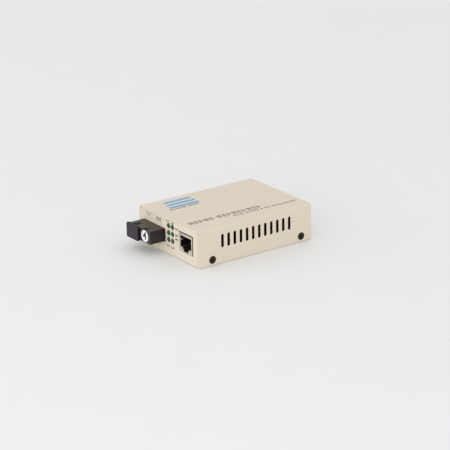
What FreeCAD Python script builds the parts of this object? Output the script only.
"""Fibre media converter: a folded steel case with a single-fibre optical port,
six indicator lamps, a shielded network jack and a DC power jack on one board.

Frame: millimetres, +Z up, origin at the centre of the case's underside.
The panel with the ports faces -Y; +X is to the right when it is seen from the front.
"""
import FreeCAD, Part
import os
import re
import Sketcher

V = FreeCAD.Vector
doc = FreeCAD.newDocument("media_converter")

# ---------------------------------------------------------------- driving sizes
SIZES = {
    "case": {
        "case_width": 70.0,            # over the cover's two sides
        "case_length": 94.0,           # front panel to rear panel
        "case_height": 26.0,           # underside to the top of the cover
        "sheet_gauge": 1.0,            # folded steel sheet of cover and tray
        "bend_radius": 1.5,            # outside radius of every fold
        "seam_gap": 0.3,               # tray inside cover, each side
        "top_gap": 0.08,               # end panels under the cover's top
        "cover_lift": 0.3,             # cover's lower edge above the underside
        "flange_height": 7.6,          # tray's side flanges that take the screws
        "flange_setback": 3.0,         # flange ends short of the end panels
    },
    "vents": {
        "vent_count": 12.0,
        "vent_pitch": 5.05,
        "vent_width": 2.2,
        "vent_length": 9.4,
        "vent_corner": 0.65,           # cut off each corner of a slot
        "vent_centre_height": 15.9,
        "vent_from_front": 19.6,       # front panel to the first slot
    },
    "screws": {
        "side_screw_height": 4.15,
        "side_screw_from_front": 11.4,
        "side_screw_from_rear": 8.7,
        "screw_radius": 1.45,
        "side_screw_head": 2.75,       # radius of the flat head
        "side_screw_length": 4.5,
        "screw_clearance": 0.08,       # radial, in every screw hole
        "recess_span": 3.0,            # cross recess, tip to tip
        "recess_slot": 0.7,
        "recess_depth": 0.8,
        "board_screw_head": 2.5,
        "board_screw_head_height": 1.9,
    },
    "board": {
        "standoff_height": 4.7,
        "standoff_radius": 2.75,       # to the corners of its six sides
        "board_gauge": 1.6,
        "board_side_gap": 0.7,         # board edge to tray flange
        "board_end_gap": 0.4,          # board edge to end panel
        "hole_from_side": 6.0,         # mounting hole to the cover's outer side
        "front_holes_from_front": 38.5,
        "rear_holes_from_rear": 15.5,
        "solder_length": 1.2,          # pin ends below the board
    },
    "optical": {
        "module_width": 25.2,
        "module_height": 9.5,
        "module_length": 39.5,
        "module_reach": 11.7,          # nose in front of the panel
        "module_from_centre": 17.35,   # module's centre to the case's centre line
        "module_feet": 0.8,            # module above the board
        "module_window_gap": 0.2,      # round the module, apart from its right side
        "module_window_side": 1.2,     # at its right side
        "module_corner": 0.5,
        "port_pitch": 12.7,
        "port_width": 9.2,
        "port_height": 7.5,
        "port_depth": 13.0,
        "keyway_width": 4.4,
        "keyway_depth": 5.4,
        "sleeve_radius": 2.3,
        "sleeve_bore": 1.25,
        "sleeve_length": 9.0,
        "sleeve_collar": 1.4,          # closed foot of the sleeve
        "blank_key_setback": 1.9,
        "fit_gap": 0.06,
        "marker_radius": 4.15,
        "marker_gauge": 0.15,
        "module_pin_pitch": 2.54,
        "module_pin_count": 9.0,
        "module_pin_size": 0.5,
        "module_pin_from_end": 2.2,
        "module_post_radius": 0.8,
        "module_post_from_front": 18.0,
        "module_post_span": 20.0,
    },
    "plug": {
        "plug_head_width": 13.8,
        "plug_head_height": 10.4,
        "plug_head_depth": 2.0,
        "plug_head_corner": 0.9,
        "plug_body_length": 9.0,
        "plug_clearance": 0.15,        # all round in the port, and under the head
        "plug_key_width": 3.0,
        "plug_key_length": 4.6,
        "plug_bore_clearance": 0.35,   # round the port's sleeve
        "plug_travel": 30.0,
    },
    "jack": {
        "jack_width": 15.8,
        "jack_height": 13.5,
        "jack_depth": 21.3,
        "jack_from_centre": 20.85,     # jack's centre to the case's centre line
        "jack_proud": 0.2,             # jack face in front of the panel
        "jack_window_gap": 0.28,
        "shield_gauge": 0.3,
        "shield_corner": 0.5,
        "jack_opening_width": 12.6,
        "jack_opening_height": 8.0,
        "jack_roof_wall": 2.2,         # over the opening
        "latch_wide": 7.3,
        "latch_wide_drop": 1.2,
        "latch_narrow": 4.9,
        "jack_floor_wall": 0.55,       # under the lower latch step
        "jack_cavity_depth": 14.0,
        "shield_tab_height": 2.0,
        "shield_tab_length": 3.4,
        "shield_tab_bulge": 0.5,       # how far a tab leans into the opening
        "shield_tab_above": 4.4,       # tab's lower edge above the opening's sill
        "contact_count": 8.0,
        "contact_pitch": 1.02,
        "contact_size": 0.35,
        "contact_channel": 0.6,
        "contact_drop": 3.1,           # free end of the spring below the roof
        "contact_reach": 8.2,
    },
    "lamps": {
        "lamp_radius": 1.6,
        "lamp_foot": 0.8,
        "lamp_reach": 1.1,             # dome in front of the panel
        "lamp_hole_gap": 0.15,
        "lamps_from_centre": 2.8,      # middle of the columns to the case's centre line
        "lamp_column_pitch": 4.6,
        "lamp_rise": 0.1,              # middle row over half way from board to cover
        "lamp_row_pitch": 5.0,
        "lead_pitch": 2.54,
        "lead_size": 0.45,
        "lead_first_bend": 1.2,
        "lead_bend_step": 1.4,
        "spacer_gap": 0.6,             # spacer behind the panel
        "spacer_gauge": 3.0,
        "spacer_margin": 2.25,         # spacer beyond the outer lamps' centres
        "spacer_foot": 1.5,
    },
    "power": {
        "power_from_centre": 18.0,     # power jack's centre to the case's centre line
        "power_width": 9.0,
        "power_axis_height": 6.5,
        "power_depth": 14.4,
        "power_proud": 0.3,
        "power_flange_depth": 3.4,
        "power_window_gap": 0.25,
        "power_bore": 3.15,
        "power_bore_depth": 9.6,
        "power_pin_radius": 1.05,
        "power_pin_setback": 1.0,
        "terminal_gauge": 0.4,
        "terminal_width": 2.4,
    },
    "electronics": {
        "chip_size": 14.0,
        "chip_height": 1.4,
        "chip_lead_count": 8.0,
        "chip_lead_pitch": 1.5,
        "chip_lead_reach": 1.0,
        "chip_lead_width": 0.45,
        "chip_lead_gauge": 0.3,
        "chip_from_front": 55.0,
        "chip_from_left": 36.0,
        "magnetics_length": 12.7,
        "magnetics_width": 9.5,
        "magnetics_height": 5.9,
        "magnetics_from_front": 29.5,
        "magnetics_from_centre": 19.5,
        "magnetics_lead_pitch": 1.27,
        "magnetics_lead_count": 8.0,
        "crystal_length": 7.0,
        "crystal_width": 5.0,
        "crystal_height": 1.6,
        "crystal_rim": 0.8,
        "crystal_from_front": 41.0,
        "crystal_from_left": 36.0,
        "capacitor_radius": 4.0,
        "capacitor_height": 11.5,
        "capacitor_pitch": 10.0,
        "capacitor_from_left": 8.5,
        "capacitor_from_rear": 24.0,
        "coil_radius": 4.1,
        "coil_height": 4.4,
        "core_radius": 5.0,
        "core_plate": 1.2,
        "coil_from_front": 50.0,
        "coil_from_right": 9.5,
        "regulator_length": 6.5,
        "regulator_width": 6.1,
        "regulator_height": 2.3,
        "regulator_tab": 2.2,
        "regulator_from_left": 44.0,
        "regulator_from_rear": 14.0,
        "memory_length": 4.9,
        "memory_width": 3.9,
        "memory_height": 1.5,
        "memory_from_left": 53.0,
        "memory_from_front": 62.0,
        "chip_part_length": 1.6,
        "chip_part_width": 0.8,
        "chip_part_height": 0.5,
        "chip_part_pitch": 2.4,
        "resistor_count": 6.0,
        "resistor_from_left": 24.0,
        "resistor_from_front": 46.0,
        "ceramic_count": 5.0,
        "ceramic_from_left": 50.0,
        "ceramic_from_front": 71.0,
        "lead_contact": 0.02,          # solder film under a chip's leads
    },
}

sheet = doc.addObject("Spreadsheet::Sheet", "Sizes")
NAMES = set()
row = 1
for group, values in SIZES.items():
    sheet.set("A%d" % row, group)
    row += 1
    for alias, number in values.items():
        sheet.set("A%d" % row, alias)
        sheet.set("B%d" % row, str(number))
        sheet.setAlias("B%d" % row, alias)
        NAMES.add(alias)
        row += 1
doc.recompute()


# ---------------------------------------------------------------- small toolkit
def E(text):
    """An expression on the sheet's aliases, written with the bare names."""
    return re.sub(r"[a-z][a-z_]*", lambda m: "Sizes." + m[0] if m[0] in NAMES else m[0], str(text))


def number(text):
    return float(sheet.evalExpression(E(text)))


def drive(thing, prop, text):
    thing.setExpression(prop, E(text))


def origin(body, role):
    return next(o for o in body.Origin.OriginFeatures if o.Role == role)


def new_body(label, x="0", y="0", z="0", several=False):
    """A named body placed in the case's frame; 'several' allows a group of solids."""
    body = doc.addObject("PartDesign::Body", label)
    body.Label = label
    if hasattr(body, "AllowCompound"):
        body.AllowCompound = several
    for axis, text in zip("xyz", (x, y, z)):
        drive(body, "Placement.Base." + axis, text)
    doc.recompute()
    return body


def new_sketch(body, plane, level="0"):
    """A sketch on an origin plane, moved to 'level' along the plane's positive axis."""
    sk = body.newObject("Sketcher::SketchObject", body.Name + "_sketch")
    sk.AttachmentSupport = [(origin(body, plane + "_Plane"), "")]
    sk.MapMode = "FlatFace"
    drive(sk, "AttachmentOffset.Base.z", "-(%s)" % level if plane == "XZ" else level)
    return sk


def pin_point(sk, geo, vertex, x, y):
    """Hold one vertex at (x, y), both driven from the sheet."""
    for kind, text in (("DistanceX", x), ("DistanceY", y)):
        i = sk.addConstraint(Sketcher.Constraint(kind, -1, 1, geo, vertex, number(text)))
        if re.search("[a-z]", str(text)):
            drive(sk, "Constraints[%d]" % i, text)


def outline(sk, points):
    """Closed outline of straight lines through (x, y) corners."""
    at = [V(number(x), number(y), 0) for x, y in points]
    first, n = sk.GeometryCount, len(points)
    for i in range(n):
        sk.addGeometry(Part.LineSegment(at[i], at[(i + 1) % n]))
    for i in range(n):
        sk.addConstraint(Sketcher.Constraint("Coincident", first + i, 2, first + (i + 1) % n, 1))
        pin_point(sk, first + i, 1, *points[i])


def rectangle(sk, x0, y0, x1, y1):
    at = [V(number(x), number(y), 0) for x, y in ((x0, y0), (x1, y0), (x1, y1), (x0, y1))]
    g = sk.GeometryCount
    for i in range(4):
        sk.addGeometry(Part.LineSegment(at[i], at[(i + 1) % 4]))
    for i in range(4):
        sk.addConstraint(Sketcher.Constraint("Coincident", g + i, 2, g + (i + 1) % 4, 1))
        sk.addConstraint(Sketcher.Constraint("Vertical" if i % 2 else "Horizontal", g + i))
    pin_point(sk, g, 1, x0, y0)
    pin_point(sk, g + 2, 1, x1, y1)


def centred(sk, x, y, width, height):
    rectangle(sk, "%s - (%s)/2" % (x, width), "%s - (%s)/2" % (y, height),
              "%s + (%s)/2" % (x, width), "%s + (%s)/2" % (y, height))


def circle(sk, x, y, radius):
    g = sk.addGeometry(Part.Circle(V(number(x), number(y), 0), V(0, 0, 1), number(radius)))
    pin_point(sk, g, 3, x, y)
    i = sk.addConstraint(Sketcher.Constraint("Radius", g, number(radius)))
    drive(sk, "Constraints[%d]" % i, radius)


def upright_slot(sk, x, y, width, length, corner):
    """Slot along the sketch's second axis, its ends cut at 45 degrees."""
    near_end, far_end = "%s/2 - %s" % (length, corner), "%s/2" % length
    right = [("%s/2" % width, near_end), ("%s/2 - %s" % (width, corner), far_end)]
    ring = [(a, b) for a, b in right] + [("-(%s)" % a, b) for a, b in reversed(right)]
    ring += [("-(%s)" % a, "-(%s)" % b) for a, b in right]
    ring += [(a, "-(%s)" % b) for a, b in reversed(right)]
    outline(sk, [("%s + %s" % (x, a), "%s + %s" % (y, b)) for a, b in ring])


def volume(body):
    doc.recompute()
    return body.Shape.Volume


def pad(body, sk, length, back=False, both=False):
    """Add material; on XY it grows up, on YZ to +X and on XZ to the front (-Y)."""
    f = body.newObject("PartDesign::Pad", body.Name + "_pad")
    f.Profile = sk
    drive(f, "Length", length)
    f.Reversed = back
    f.Midplane = both
    doc.recompute()
    return f


def pocket(body, sk, depth=None, back=False, both=False):
    """Cut against the sketch's normal: down on XY, to -X on YZ, to the rear on XZ."""
    before = volume(body)
    f = body.newObject("PartDesign::Pocket", body.Name + "_pocket")
    f.Profile = sk
    if depth is None:
        f.Type = "ThroughAll"
    else:
        drive(f, "Length", depth)
    f.Reversed = back
    f.Midplane = both
    if not volume(body) < before - 1e-6:
        raise RuntimeError("pocket cuts nothing in " + body.Label)
    return f


def spin(body, sk, axis="V_Axis", kind="Revolution"):
    """Turn a profile about one of the sketch's own axes; kind Groove cuts instead."""
    before = volume(body) if kind == "Groove" else None
    f = body.newObject("PartDesign::" + kind, body.Name + "_turn")
    f.Profile = sk
    f.ReferenceAxis = (sk, [axis])
    f.Angle = 360
    if kind == "Groove" and not volume(body) < before - 1e-6:
        raise RuntimeError("groove cuts nothing in " + body.Label)
    doc.recompute()
    return f


def patterns(body, originals, *steps):
    """Repeat features along axes: each step is (axis, spacing, count) or a mirror plane."""
    made = []
    multi = body.newObject("PartDesign::MultiTransform", body.Name + "_pattern")
    multi.Originals = originals
    for step in steps:
        if isinstance(step, str):
            t = body.newObject("PartDesign::Mirrored", body.Name + "_mirror")
            t.MirrorPlane = (origin(body, step + "_Plane"), [""])
        else:
            axis, spacing, count = step
            t = body.newObject("PartDesign::LinearPattern", body.Name + "_row")
            t.Direction = (origin(body, axis + "_Axis"), [""])
            drive(t, "Length", "(%s) * ((%s) - 1)" % (spacing, count))
            drive(t, "Occurrences", count)
        made.append(t)
    multi.Transformations = made
    body.Tip = multi
    doc.recompute()
    return multi


def fillet(body, radius, wanted, kind="PartDesign::Fillet"):
    """Round the edges of the body so far for which wanted(edge) is true."""
    doc.recompute()
    base = body.Tip
    inverse = body.Placement.inverse()
    names = []
    for i, edge in enumerate(base.Shape.Edges, 1):
        box = edge.BoundBox
        if wanted(box, edge):
            names.append("Edge%d" % i)
    if not names:
        raise RuntimeError("no edges to round in " + body.Label)
    f = body.newObject(kind, body.Name + "_round")
    f.Base = (base, names)
    drive(f, "Radius" if kind.endswith("Fillet") else "Size", radius)
    doc.recompute()
    return f


def along(axis, box, tol=1e-4):
    """True for a straight edge that runs along one axis."""
    spans = {"x": box.XLength, "y": box.YLength, "z": box.ZLength}
    return spans.pop(axis) > tol and max(spans.values()) < tol


def near(a, text, tol=1e-3):
    return abs(a - number(text)) < tol


# ---------------------------------------------------------------- shared places
HALF = "case_width/2"
FRONT = "-case_length/2"
REAR = "case_length/2"
TRAY_HALF = "case_width/2 - sheet_gauge - seam_gap"
INNER_HALF = "case_width/2 - 2*sheet_gauge - seam_gap"
BOARD_UNDER = "sheet_gauge + standoff_height"
BOARD_TOP = "sheet_gauge + standoff_height + board_gauge"
MODULE_X = "-module_from_centre"
MODULE_Y = "-case_length/2 - module_reach"
MODULE_Z = BOARD_TOP + " + module_feet"
JACK_X = "jack_from_centre"
LAMP_X = "lamps_from_centre - lamp_column_pitch/2"
LAMP_MIDDLE = "(%s + case_height - sheet_gauge)/2 + lamp_rise" % BOARD_TOP
LAMP_LOW = LAMP_MIDDLE + " - lamp_row_pitch"
POWER_X = "-power_from_centre"
HOLE_X = "case_width/2 - hole_from_side"
HOLE_FRONT = "-case_length/2 + front_holes_from_front"
HOLE_REAR = "case_length/2 - rear_holes_from_rear"
SCREW_FRONT = "-case_length/2 + side_screw_from_front"
SCREW_STEP = "case_length - side_screw_from_front - side_screw_from_rear"
BORE = "screw_radius + screw_clearance"
BOTH_ENDS = ("Y", SCREW_STEP, "2")


def screw_line(body, points, kind="Revolution"):
    """Turn an (x, radius) profile about the front side screw's axis."""
    sk = new_sketch(body, "XY", "side_screw_height")
    drive(sk, "AttachmentOffset.Base.y", SCREW_FRONT)
    outline(sk, points)
    return spin(body, sk, "H_Axis", kind)


# ---------------------------------------------------------------- the folded case
# Cover: top and two vented sides from one sheet, countersunk for four flat-head screws.
cover = new_body("top_cover")
sk = new_sketch(cover, "XZ")
outline(sk, [("-" + HALF, "cover_lift"), ("-" + HALF, "case_height"), (HALF, "case_height"),
             (HALF, "cover_lift"), (HALF + " - sheet_gauge", "cover_lift"),
             (HALF + " - sheet_gauge", "case_height - sheet_gauge"),
             ("-" + HALF + " + sheet_gauge", "case_height - sheet_gauge"),
             ("-" + HALF + " + sheet_gauge", "cover_lift")])
pad(cover, sk, "case_length", both=True)
fillet(cover, "bend_radius", lambda b, e: along("y", b) and near(b.ZMax, "case_height"))
fillet(cover, "max(bend_radius - sheet_gauge; 0.1)",
       lambda b, e: along("y", b) and near(b.ZMax, "case_height - sheet_gauge"))
slot = new_sketch(cover, "YZ")
upright_slot(slot, "-case_length/2 + vent_from_front", "vent_centre_height",
             "vent_width", "vent_length", "vent_corner")
vent = pocket(cover, slot, both=True)
patterns(cover, [vent], ("Y", "vent_pitch", "vent_count"))
COVER_IN = HALF + " - sheet_gauge"
sink = screw_line(cover, [(COVER_IN, "0"), (HALF, "0"), (HALF, "side_screw_head + screw_clearance"),
                          (COVER_IN, "side_screw_head - sheet_gauge + screw_clearance")], "Groove")
patterns(cover, [sink], BOTH_ENDS, "YZ")

# Tray: floor, front panel and rear panel folded from one sheet, with two low side flanges.
tray = new_body("bottom_tray")
sk = new_sketch(tray, "YZ")
PANEL_TOP = "case_height - sheet_gauge - top_gap"
outline(sk, [(FRONT, "0"), (REAR, "0"), (REAR, PANEL_TOP), (REAR + " - sheet_gauge", PANEL_TOP),
             (REAR + " - sheet_gauge", "sheet_gauge"), (FRONT + " + sheet_gauge", "sheet_gauge"),
             (FRONT + " + sheet_gauge", PANEL_TOP), (FRONT, PANEL_TOP)])
pad(tray, sk, "2*(%s)" % TRAY_HALF, both=True)
fillet(tray, "max(bend_radius - sheet_gauge; 0.1)",
       lambda b, e: along("x", b) and near(b.ZMax, "sheet_gauge"))
sk = new_sketch(tray, "XZ")
outline(sk, [("-(%s)" % TRAY_HALF, "0"), (TRAY_HALF, "0"), (TRAY_HALF, "flange_height"),
             (INNER_HALF, "flange_height"), (INNER_HALF, "sheet_gauge"),
             ("-(%s)" % INNER_HALF, "sheet_gauge"), ("-(%s)" % INNER_HALF, "flange_height"),
             ("-(%s)" % TRAY_HALF, "flange_height")])
pad(tray, sk, "case_length - 2*(sheet_gauge + flange_setback)", both=True)
fillet(tray, "bend_radius", lambda b, e: near(b.ZMax, "0") and along("x", b)
       and near(b.XLength, "2*(%s)" % TRAY_HALF))
fillet(tray, "bend_radius", lambda b, e: near(b.ZMax, PANEL_TOP) and along("y", b)
       and near(b.YLength, "sheet_gauge"))

# Windows and lamp holes in the front panel, cut toward the rear.
sk = new_sketch(tray, "XZ", FRONT)
rectangle(sk, MODULE_X + " - module_width/2 - module_window_gap", MODULE_Z + " - module_window_gap",
          MODULE_X + " + module_width/2 + module_window_side",
          MODULE_Z + " + module_height + module_window_gap")
centred(sk, JACK_X, BOARD_TOP + " + jack_height/2",
        "jack_width + 2*jack_window_gap", "jack_height + 2*jack_window_gap")
pocket(tray, sk, "sheet_gauge")
sk = new_sketch(tray, "XZ", FRONT)
circle(sk, LAMP_X, LAMP_LOW, "lamp_radius + lamp_hole_gap")
lamp_hole = pocket(tray, sk, "sheet_gauge")
patterns(tray, [lamp_hole], ("X", "lamp_column_pitch", "2"), ("Z", "lamp_row_pitch", "3"))

# Window for the power jack in the rear panel, cut toward the front.
sk = new_sketch(tray, "XZ", REAR)
centred(sk, POWER_X, BOARD_TOP + " + (power_axis_height + power_width/2)/2",
        "power_width + 2*power_window_gap",
        "power_axis_height + power_width/2 + 2*power_window_gap")
pocket(tray, sk, "sheet_gauge", back=True)

# Screw holes in the side flanges.
hole = screw_line(tray, [(INNER_HALF, "0"), (TRAY_HALF, "0"), (TRAY_HALF, BORE),
                         (INNER_HALF, BORE)], "Groove")
patterns(tray, [hole], BOTH_ENDS, "YZ")


# ---------------------------------------------------------------- screws and standoffs
def cross(sk, x, y):
    """Outline of a cross recess centred on (x, y) of the sketch."""
    a, b = "recess_span/2", "recess_slot/2"
    ring = [(a, b), (b, b), (b, a), ("-" + b, a), ("-" + b, b), ("-" + a, b),
            ("-" + a, "-" + b), ("-" + b, "-" + b), ("-" + b, "-" + a), (b, "-" + a),
            (b, "-" + b), (a, "-" + b)]
    outline(sk, [("%s + %s" % (x, p), "%s + %s" % (y, q)) for p, q in ring])


def hexagon(sk, x, y, reach):
    """Six sides round (x, y), two corners along the sketch's first axis at the given reach."""
    outline(sk, [("%s + %s*%s" % (x, a, reach), "%s + %s*%s" % (y, b, reach)) for a, b in
                 (("1", "0"), ("0.5", "0.866"), ("-0.5", "0.866"), ("-1", "0"),
                  ("-0.5", "-0.866"), ("0.5", "-0.866"))])


screws = new_body("cover_screws", several=True)
SCREW_TIP = HALF + " - side_screw_length"
flat_head = screw_line(screws, [
    (SCREW_TIP, "0"), (HALF, "0"), (HALF, "side_screw_head"),
    (HALF + " - (side_screw_head - screw_radius)", "screw_radius"),
    (SCREW_TIP, "screw_radius")])
sk = new_sketch(screws, "YZ", HALF)
cross(sk, SCREW_FRONT, "side_screw_height")
drive_recess = pocket(screws, sk, "recess_depth")
patterns(screws, [flat_head, drive_recess], BOTH_ENDS, "YZ")

posts = new_body("board_standoffs", z="sheet_gauge", several=True)
sk = new_sketch(posts, "XY")
hexagon(sk, HOLE_X, HOLE_FRONT, "standoff_radius")
circle(sk, HOLE_X, HOLE_FRONT, BORE)
post = pad(posts, sk, "standoff_height")
BOARD_STEP = "case_length - front_holes_from_front - rear_holes_from_rear"
patterns(posts, [post], ("Y", BOARD_STEP, "2"), "YZ")

bolts = new_body("board_screws", "-(%s)" % HOLE_X, HOLE_FRONT, BOARD_TOP, several=True)
HOLE_STEPS = (("Y", BOARD_STEP, "2"), ("X", "2*(%s)" % HOLE_X, "2"))
HEAD_HIGH, HEAD_WIDE = "board_screw_head_height", "board_screw_head"
BOLT_END = "-(board_gauge + 0.7*standoff_height)"
sk = new_sketch(bolts, "XY")
hexagon(sk, "0", "0", HEAD_WIDE)
head = pad(bolts, sk, HEAD_HIGH)
sk = new_sketch(bolts, "XY", BOLT_END)
circle(sk, "0", "0", "screw_radius")
shaft = pad(bolts, sk, "-(%s)" % BOLT_END)
patterns(bolts, [head, shaft], *HOLE_STEPS)

# ---------------------------------------------------------------- circuit board
board = new_body("circuit_board", z=BOARD_UNDER)
sk = new_sketch(board, "XY")
BOARD_SIDE = INNER_HALF + " - board_side_gap"
BOARD_END = "case_length/2 - sheet_gauge - board_end_gap"
rectangle(sk, "-(%s)" % BOARD_SIDE, "-(%s)" % BOARD_END, BOARD_SIDE, BOARD_END)
for side in ("-(%s)" % HOLE_X, HOLE_X):
    for end in (HOLE_FRONT, HOLE_REAR):
        circle(sk, side, end, BORE)
pad(board, sk, "board_gauge")

# ---------------------------------------------------------------- optical module
# Moulded housing of duplex width: two side by side ports with a keyway over each.
housing = new_body("optical_module_housing", MODULE_X, MODULE_Y, MODULE_Z)
sk = new_sketch(housing, "XZ")
rectangle(sk, "-module_width/2", "0", "module_width/2", "module_height")
pad(housing, sk, "module_length", back=True)
fillet(housing, "module_corner", lambda b, e: along("y", b))
fillet(housing, "0.5*module_corner", lambda b, e: b.YMax < 0.01, "PartDesign::Chamfer")
ports = new_sketch(housing, "XZ")
for side in ("-port_pitch/2", "port_pitch/2"):
    centred(ports, side, "module_height/2", "port_width", "port_height")
pocket(housing, ports, "port_depth")
keys = new_sketch(housing, "XY", "module_height")
for side in ("-port_pitch/2", "port_pitch/2"):
    rectangle(keys, side + " - keyway_width/2", "0", side + " + keyway_width/2", "keyway_depth")
pocket(housing, keys, "(module_height - port_height)/2")
feet = new_sketch(housing, "XY")
for side in ("-0.4*module_width", "0.4*module_width"):
    for y in ("module_reach + 4", "module_length - 5"):
        centred(feet, side, y, "2.4", "3")
pad(housing, feet, "module_feet", back=True)

sleeve = new_body("fibre_sleeve", MODULE_X + " - port_pitch/2", MODULE_Y + " + port_depth",
                  MODULE_Z + " + module_height/2")
sleeve.Placement.Rotation = FreeCAD.Rotation(V(1, 0, 0), 90)
sk = new_sketch(sleeve, "XZ")
TIP = "sleeve_length"
outline(sk, [("sleeve_bore", "sleeve_collar"), ("sleeve_bore", TIP), ("sleeve_radius", TIP),
             ("sleeve_radius", "0"), ("0", "0"), ("0", "sleeve_collar")])
spin(sleeve, sk)

blank = new_body("blank_port_insert", MODULE_X + " + port_pitch/2", MODULE_Y,
                 MODULE_Z + " + module_height/2")
sk = new_sketch(blank, "XZ")
centred(sk, "0", "0", "port_width - 2*fit_gap", "port_height - 2*fit_gap")
pad(blank, sk, "port_depth - fit_gap", back=True)
sk = new_sketch(blank, "XY", "port_height/2 - fit_gap")
rectangle(sk, "-keyway_width/2 + fit_gap", "blank_key_setback",
          "keyway_width/2 - fit_gap", "keyway_depth - fit_gap")
pad(blank, sk, "(module_height - port_height)/2")

marker = new_body("marker_disc", MODULE_X + " + port_pitch/2", MODULE_Y,
                  MODULE_Z + " + module_height/2 + 0.1")
sk = new_sketch(marker, "XZ")
circle(sk, "0", "0", "marker_radius")
pad(marker, sk, "marker_gauge")

pins = new_body("optical_module_pins", MODULE_X, MODULE_Y, MODULE_Z, several=True)
PIN_LONG = "module_feet + board_gauge + solder_length"
sk = new_sketch(pins, "XY")
centred(sk, "-module_pin_pitch*(module_pin_count - 1)/2", "module_length - module_pin_from_end",
        "module_pin_size", "module_pin_size")
pin = pad(pins, sk, PIN_LONG, back=True)
patterns(pins, [pin], ("X", "module_pin_pitch", "module_pin_count"))
sk = new_sketch(pins, "XY")
for side in ("-module_post_span/2", "module_post_span/2"):
    centred(sk, side, "module_post_from_front", "2*module_post_radius", "2*module_post_radius")
pad(pins, sk, PIN_LONG, back=True)

# Dust plug: a flat head over the left port and a hollow body that clears the sleeve.
plug = new_body("dust_plug", MODULE_X + " - port_pitch/2", MODULE_Y,
                MODULE_Z + " + module_height/2")
sk = new_sketch(plug, "XZ", "-plug_clearance")
centred(sk, "0", "0", "plug_head_width", "plug_head_height")
pad(plug, sk, "plug_head_depth")
fillet(plug, "plug_head_corner", lambda b, e: along("y", b))
fillet(plug, "0.35*plug_head_corner",
       lambda b, e: near(b.YMax, "-plug_clearance - plug_head_depth"), "PartDesign::Chamfer")
sk = new_sketch(plug, "XZ", "-plug_clearance")
centred(sk, "0", "0", "port_width - 2*plug_clearance", "port_height - 2*plug_clearance")
pad(plug, sk, "plug_body_length + plug_clearance", back=True)
KEY_TOP = "module_height/2 - plug_clearance"
sk = new_sketch(plug, "XZ", "-plug_clearance")
rectangle(sk, "-plug_key_width/2", "0", "plug_key_width/2", KEY_TOP)
pad(plug, sk, "plug_key_length + plug_clearance", back=True)
sk = new_sketch(plug, "XZ", "plug_body_length")
circle(sk, "0", "0", "sleeve_radius + plug_bore_clearance")
pocket(plug, sk, "plug_body_length - (port_depth - sleeve_length) + plug_bore_clearance", back=True)

# ---------------------------------------------------------------- network jack
JACK = (JACK_X, FRONT + " - jack_proud", BOARD_TOP)
ROOF = "jack_height - jack_roof_wall"
SILL = ROOF + " - jack_opening_height"


def jack_opening(sk, grow="0"):
    """The socket's outline: a wide mouth with a stepped recess for the latch below it."""
    half, wide, slim = ("%s/2 + %s" % (name, grow) for name in
                        ("jack_opening_width", "latch_wide", "latch_narrow"))
    sill, step = ("%s - %s - %s" % (SILL, drop, grow) for drop in ("0", "latch_wide_drop"))
    low = "jack_floor_wall - %s" % grow
    right = [(half, ROOF + " + " + grow), (half, sill), (wide, sill), (wide, step),
             (slim, step), (slim, low)]
    outline(sk, right + [("-(%s)" % x, y) for x, y in reversed(right)])


# Folded shield: open underneath, its front cut to the socket, a spring tab on each side.
shield = new_body("ethernet_jack_shield", *JACK)
sk = new_sketch(shield, "XY")
rectangle(sk, "-jack_width/2", "0", "jack_width/2", "jack_depth")
pad(shield, sk, "jack_height")
fillet(shield, "shield_corner", lambda b, e: along("y", b) and near(b.ZMax, "jack_height"))
sk = new_sketch(shield, "XY")
rectangle(sk, "-jack_width/2 + shield_gauge", "shield_gauge",
          "jack_width/2 - shield_gauge", "jack_depth - shield_gauge")
pocket(shield, sk, "jack_height - shield_gauge", back=True)
sk = new_sketch(shield, "XZ")
jack_opening(sk, "0.05")
pocket(shield, sk, "shield_gauge")
sk = new_sketch(shield, "XY", SILL + " + shield_tab_above")
TAB = [("0.35", "0"), ("-0.05", "0"), ("-shield_tab_bulge", "0.45*shield_tab_length"),
       ("-0.5*shield_tab_bulge", "shield_tab_length"),
       ("-0.5*shield_tab_bulge + shield_gauge", "shield_tab_length"),
       ("-shield_tab_bulge + shield_gauge", "0.45*shield_tab_length"), ("0.35", "shield_gauge")]
for side in ("-1", "1"):
    outline(sk, [("%s*(jack_opening_width/2 + %s)" % (side, x), y) for x, y in TAB])
pad(shield, sk, "shield_tab_height")

# Moulded insert: fills the shield, with the socket, the contacts' comb and the tab slots.
insert = new_body("ethernet_jack_insert", *JACK)
INSERT_IN = "(shield_gauge + fit_gap)"
sk = new_sketch(insert, "XY")
rectangle(sk, "-jack_width/2 + " + INSERT_IN, INSERT_IN,
          "jack_width/2 - " + INSERT_IN, "jack_depth - " + INSERT_IN)
pad(insert, sk, "jack_height - %s - shield_corner/2" % INSERT_IN)
sk = new_sketch(insert, "XZ")
jack_opening(sk)
pocket(insert, sk, "jack_cavity_depth")
CHANNEL = "(contact_pitch*contact_count/2 + 0.1)"
sk = new_sketch(insert, "XZ", "jack_cavity_depth + 1.5")
rectangle(sk, "-" + CHANNEL, ROOF + " - contact_drop - 0.5", CHANNEL, ROOF + " + contact_channel")
pocket(insert, sk, "jack_cavity_depth", back=True)
sk = new_sketch(insert, "XZ")
for side in ("-1", "1"):
    rectangle(sk, side + "*(jack_opening_width/2 + 0.35 + fit_gap)",
              SILL + " + shield_tab_above - fit_gap", side + "*(jack_opening_width/2 - 0.2)",
              SILL + " + shield_tab_above + shield_tab_height + fit_gap")
pocket(insert, sk, "shield_tab_length + fit_gap")

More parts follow.
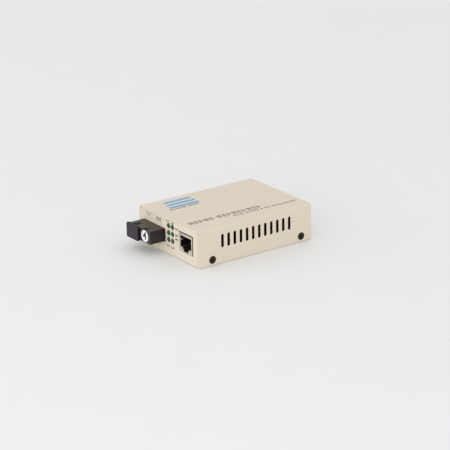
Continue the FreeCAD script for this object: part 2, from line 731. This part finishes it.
# Eight spring contacts: each runs forward under the roof, turns, and slopes back down.
contacts = new_body("ethernet_jack_contacts", *JACK, several=True)
C_TOP = ROOF + " + contact_channel"
C_FRONT = "(shield_gauge + 1.7)"
C_END = "(shield_gauge + 1.7 + contact_reach)"
sk = new_sketch(contacts, "YZ", "-contact_pitch*(contact_count - 1)/2 - contact_size/2")
outline(sk, [
    ("jack_cavity_depth + 1.5", C_TOP), (C_FRONT + " + 0.3", C_TOP),
    (C_FRONT, C_TOP + " - 0.3"), (C_FRONT, C_TOP + " - 0.7"),
    (C_END, ROOF + " - contact_drop - contact_size"), (C_END, ROOF + " - contact_drop"),
    (C_FRONT + " + contact_size + 0.3", C_TOP + " - 0.75"),
    (C_FRONT + " + contact_size + 0.2", C_TOP + " - contact_size"),
    ("jack_cavity_depth + 1.5", C_TOP + " - contact_size")])
wire = pad(contacts, sk, "contact_size")
patterns(contacts, [wire], ("X", "contact_pitch", "contact_count"))

# ---------------------------------------------------------------- indicator lamps
LAMPS = (("X", "lamp_column_pitch", "2"), ("Z", "lamp_row_pitch", "3"))
PANEL_BACK = FRONT + " + sheet_gauge"
SPACER_BACK = PANEL_BACK + " + spacer_gap + spacer_gauge"
LAMP_Z = "%s - (%s)" % (LAMP_LOW, BOARD_TOP)
spacer = new_body("led_spacer", LAMP_X, PANEL_BACK + " + spacer_gap", BOARD_TOP)
sk = new_sketch(spacer, "XZ")
rectangle(sk, "-spacer_margin", "0", "lamp_column_pitch + spacer_margin",
          LAMP_Z + " + 2*lamp_row_pitch + spacer_margin")
pad(spacer, sk, "spacer_gauge", back=True)
sk = new_sketch(spacer, "XY")
rectangle(sk, "-spacer_margin", "0", "lamp_column_pitch + spacer_margin",
          "spacer_gauge + 0.3*lamp_foot")
pad(spacer, sk, "spacer_foot")
sk = new_sketch(spacer, "XZ")
rectangle(sk, "-lamp_radius - fit_gap", LAMP_Z + " - lamp_radius - fit_gap",
          "lamp_radius + fit_gap", LAMP_Z + " + 2*lamp_row_pitch + lamp_radius + fit_gap")
column = pocket(spacer, sk, "spacer_gauge + lamp_foot")
patterns(spacer, [column], ("X", "lamp_column_pitch", "2"))

# A lamp is a turned body with a dome, its foot behind the spacer.
lamps = new_body("indicator_leds", LAMP_X, SPACER_BACK, LAMP_LOW, several=True)
sk = new_sketch(lamps, "XY")
L_TIP = "-(spacer_gauge + spacer_gap + sheet_gauge + lamp_reach)"
r = "lamp_radius"
outline(sk, [("0", "lamp_foot"), ("0", L_TIP), ("0.66*" + r, L_TIP + " + 0.22*" + r),
             (r, L_TIP + " + 0.85*" + r), (r, "lamp_foot")])
lamp = spin(lamps, sk)
patterns(lamps, [lamp], *LAMPS)

# Each lamp's two leads run back and turn down through the board, the top row furthest.
leads = new_body("led_leads", LAMP_X, SPACER_BACK + " + lamp_foot", several=True)
sk = new_sketch(leads, "YZ", "-lead_pitch/2 - lead_size/2")
LEAD_END = BOARD_UNDER + " - solder_length"
for level in range(3):
    z = "%s + %d*lamp_row_pitch" % (LAMP_LOW, level)
    bend = "lead_first_bend + %d*lead_bend_step" % level
    outline(sk, [("0", z + " + lead_size/2"), (bend + " + lead_size/2", z + " + lead_size/2"),
                 (bend + " + lead_size/2", LEAD_END), (bend + " - lead_size/2", LEAD_END),
                 (bend + " - lead_size/2", z + " - lead_size/2"), ("0", z + " - lead_size/2")])
lead = pad(leads, sk, "lead_size")
patterns(leads, [lead], ("X", "lead_pitch", "2"), ("X", "lamp_column_pitch", "2"))

# ---------------------------------------------------------------- power jack
# Moulded body: an arched barrel housing with a square flange in the panel's window.
power = new_body("power_jack_body", POWER_X, REAR + " + power_proud", BOARD_TOP)
sk = new_sketch(power, "XZ")
rectangle(sk, "-power_width/2", "0", "power_width/2", "power_axis_height + power_width/2")
pad(power, sk, "power_flange_depth")
sk = new_sketch(power, "XZ", "-power_flange_depth")
rectangle(sk, "-power_width/2", "0", "power_width/2", "power_axis_height")
pad(power, sk, "power_depth - power_flange_depth")
sk = new_sketch(power, "XZ", "-power_flange_depth")
circle(sk, "0", "power_axis_height", "power_width/2")
pad(power, sk, "power_depth - power_flange_depth")
sk = new_sketch(power, "XZ")
circle(sk, "0", "power_axis_height", "power_bore")
pocket(power, sk, "power_bore_depth", back=True)

power_pin = new_body("power_jack_pin", POWER_X, REAR + " + power_proud",
                     BOARD_TOP + " + power_axis_height")
sk = new_sketch(power_pin, "XY")
P_END, P_TIP = "-power_bore_depth", "-power_pin_setback"
outline(sk, [("0", P_END), ("power_pin_radius", P_END), ("power_pin_radius", P_TIP + " - 0.4"),
             ("power_pin_radius - 0.4", P_TIP), ("0", P_TIP)])
spin(power_pin, sk)

# Solder tabs: one behind the body, one under it and one at its side.
tabs = new_body("power_jack_terminals", POWER_X, REAR + " + power_proud", BOARD_TOP,
                several=True)
TAB_LOW = "-(board_gauge + solder_length)"
sk = new_sketch(tabs, "XZ", "-power_depth")
rectangle(sk, "-terminal_width/2", TAB_LOW, "terminal_width/2", "power_axis_height")
pad(tabs, sk, "terminal_gauge")
sk = new_sketch(tabs, "XZ", "-0.58*power_depth")
rectangle(sk, "-terminal_width/2", TAB_LOW, "terminal_width/2", "0")
pad(tabs, sk, "terminal_gauge")
sk = new_sketch(tabs, "YZ", "power_width/2")
centred(sk, "-0.78*power_depth", "(power_axis_height/2 + %s)/2" % TAB_LOW, "terminal_width",
        "power_axis_height/2 - (%s)" % TAB_LOW)
pad(tabs, sk, "terminal_gauge")

# ---------------------------------------------------------------- components on the board
# Switch chip: a flat square package with leads on all four sides.
chip = new_body("switch_chip", "-case_width/2 + chip_from_left",
                "-case_length/2 + chip_from_front", BOARD_TOP + " + lead_contact")
sk = new_sketch(chip, "XY", "0.1")
centred(sk, "0", "0", "chip_size", "chip_size")
pad(chip, sk, "chip_height")
fillet(chip, "0.12*chip_height", lambda b, e: near(b.ZMin, "0.1 + chip_height"), "PartDesign::Chamfer")
ROW_START = "-chip_lead_pitch*(chip_lead_count - 1)/2"
EDGE = "chip_size/2 + chip_lead_reach/2 - 0.1"
for axis in "XY":
    sk = new_sketch(chip, "XY")
    for side in ("-", ""):
        if axis == "X":
            centred(sk, ROW_START, "%s(%s)" % (side, EDGE), "chip_lead_width",
                    "chip_lead_reach + 0.2")
        else:
            centred(sk, "%s(%s)" % (side, EDGE), ROW_START, "chip_lead_reach + 0.2",
                    "chip_lead_width")
    lead = pad(chip, sk, "chip_lead_gauge")
    patterns(chip, [lead], (axis, "chip_lead_pitch", "chip_lead_count"))

# Isolation transformers in one moulded package with a row of leads on each long side.
magnetics = new_body("network_transformer", "magnetics_from_centre",
                     "-case_length/2 + magnetics_from_front", BOARD_TOP + " + lead_contact")
sk = new_sketch(magnetics, "XY", "0.2")
centred(sk, "0", "0", "magnetics_length", "magnetics_width")
pad(magnetics, sk, "magnetics_height")
fillet(magnetics, "0.08*magnetics_height",
       lambda b, e: near(b.ZMin, "0.2 + magnetics_height"), "PartDesign::Chamfer")
sk = new_sketch(magnetics, "XY")
centred(sk, "-magnetics_lead_pitch*(magnetics_lead_count - 1)/2", "0", "0.4",
        "magnetics_width + 2.6")
bar = pad(magnetics, sk, "0.3")
patterns(magnetics, [bar], ("X", "magnetics_lead_pitch", "magnetics_lead_count"))

# Crystal: a ceramic base with a metal lid.
crystal = new_body("crystal", "-case_width/2 + crystal_from_left",
                   "-case_length/2 + crystal_from_front", BOARD_TOP + " + lead_contact")
crystal.Placement.Rotation = FreeCAD.Rotation(V(0, 0, 1), 90)
sk = new_sketch(crystal, "XY")
centred(sk, "0", "0", "crystal_width", "crystal_length")
pad(crystal, sk, "0.6*crystal_height")
sk = new_sketch(crystal, "XY", "0.6*crystal_height")
centred(sk, "0", "0", "crystal_width - crystal_rim", "crystal_length - crystal_rim")
pad(crystal, sk, "0.4*crystal_height")

# Two smoothing capacitors beside the power jack, with bevelled tops.
caps = new_body("electrolytic_capacitors", "-case_width/2 + capacitor_from_left",
                "case_length/2 - capacitor_from_rear - capacitor_pitch", BOARD_TOP, several=True)
sk = new_sketch(caps, "XZ")
C, T = "capacitor_radius", "capacitor_height"
outline(sk, [("0", "0"), (C, "0"), (C, T + " - 0.5"), (C + " - 0.5", T), ("0", T)])
can = spin(caps, sk)
patterns(caps, [can], ("Y", "capacitor_pitch", "2"))

# Power inductor: a ferrite core with two square plates and a winding round its square post.
INDUCTOR = (HALF + " - coil_from_right", "-case_length/2 + coil_from_front", BOARD_TOP)
core = new_body("inductor_core", *INDUCTOR)
for level, size, height in (("0", "2*core_radius", "core_plate"),
                            ("core_plate", "core_radius", "coil_height"),
                            ("core_plate + coil_height", "2*core_radius", "core_plate")):
    sk = new_sketch(core, "XY", level)
    centred(sk, "0", "0", size, size)
    pad(core, sk, height)
fillet(core, "0.3*core_radius", lambda b, e: along("z", b) and near(abs(b.XMin), "core_radius"),
       "PartDesign::Chamfer")
coil = new_body("inductor_coil", INDUCTOR[0], INDUCTOR[1], INDUCTOR[2] + " + core_plate")
sk = new_sketch(coil, "XY")
centred(sk, "0", "0", "2*coil_radius", "2*coil_radius")
centred(sk, "0", "0", "core_radius", "core_radius")
pad(coil, sk, "coil_height")
fillet(coil, "0.5*coil_radius", lambda b, e: along("z", b) and near(abs(b.XMin), "coil_radius"),
       "PartDesign::Chamfer")

# Voltage regulator: a tab package lying on its heat spreader.
regulator = new_body("voltage_regulator", "-case_width/2 + regulator_from_left",
                     "case_length/2 - regulator_from_rear", BOARD_TOP + " + lead_contact")
sk = new_sketch(regulator, "XY")
centred(sk, "0", "0", "regulator_length", "regulator_width")
pad(regulator, sk, "regulator_height")
fillet(regulator, "0.2*regulator_height",
       lambda b, e: near(b.ZMin, "regulator_height"), "PartDesign::Chamfer")
sk = new_sketch(regulator, "XY")
centred(sk, "0", "regulator_width/2 + regulator_tab/2", "0.8*regulator_length", "regulator_tab + 0.2")
for side in ("-0.35*regulator_length", "0", "0.35*regulator_length"):
    centred(sk, side, "-regulator_width/2 - 1.2", "0.8", "2.6")
pad(regulator, sk, "0.5")

memory = new_body("memory_chip", "-case_width/2 + memory_from_left",
                  "-case_length/2 + memory_from_front", BOARD_TOP + " + lead_contact")
sk = new_sketch(memory, "XY", "0.1")
centred(sk, "0", "0", "memory_length", "memory_width")
pad(memory, sk, "memory_height")
sk = new_sketch(memory, "XY")
for i in range(4):
    centred(sk, "%.1f*memory_length/4" % (i - 1.5), "0", "0.4", "memory_width + 2")
pad(memory, sk, "0.25")


def small_parts(label, x, y, count):
    """A row of like chip components, each a plain block soldered to the board."""
    body = new_body(label, x, y, BOARD_TOP, several=True)
    s = new_sketch(body, "XY")
    centred(s, "0", "0", "chip_part_width", "chip_part_length")
    block = pad(body, s, "chip_part_height")
    patterns(body, [block], ("X", "chip_part_pitch", count))
    return body


small_parts("chip_resistors", "-case_width/2 + resistor_from_left",
            "-case_length/2 + resistor_from_front", "resistor_count")
small_parts("chip_capacitors", "-case_width/2 + ceramic_from_left",
            "-case_length/2 + ceramic_from_front", "ceramic_count")

# ---------------------------------------------------------------- checks and files
doc.recompute()
failed = [o.Name for o in doc.Objects if {"Invalid", "Error"} & set(o.State)]
parts = [o for o in doc.Objects if o.TypeId == "PartDesign::Body"]
failed += [o.Label for o in parts if o.Shape.isNull() or not o.Shape.isValid()]
if failed:
    raise RuntimeError("failed: " + ", ".join(failed))

os.makedirs("parts", exist_ok=True)
for o in parts:
    o.Shape.exportStep(os.path.join("parts", o.Label + ".step"))
    print("%-26s %2d solid(s) %10.2f mm3" % (o.Label, len(o.Shape.Solids), o.Shape.Volume))
print(len(parts), "pieces")
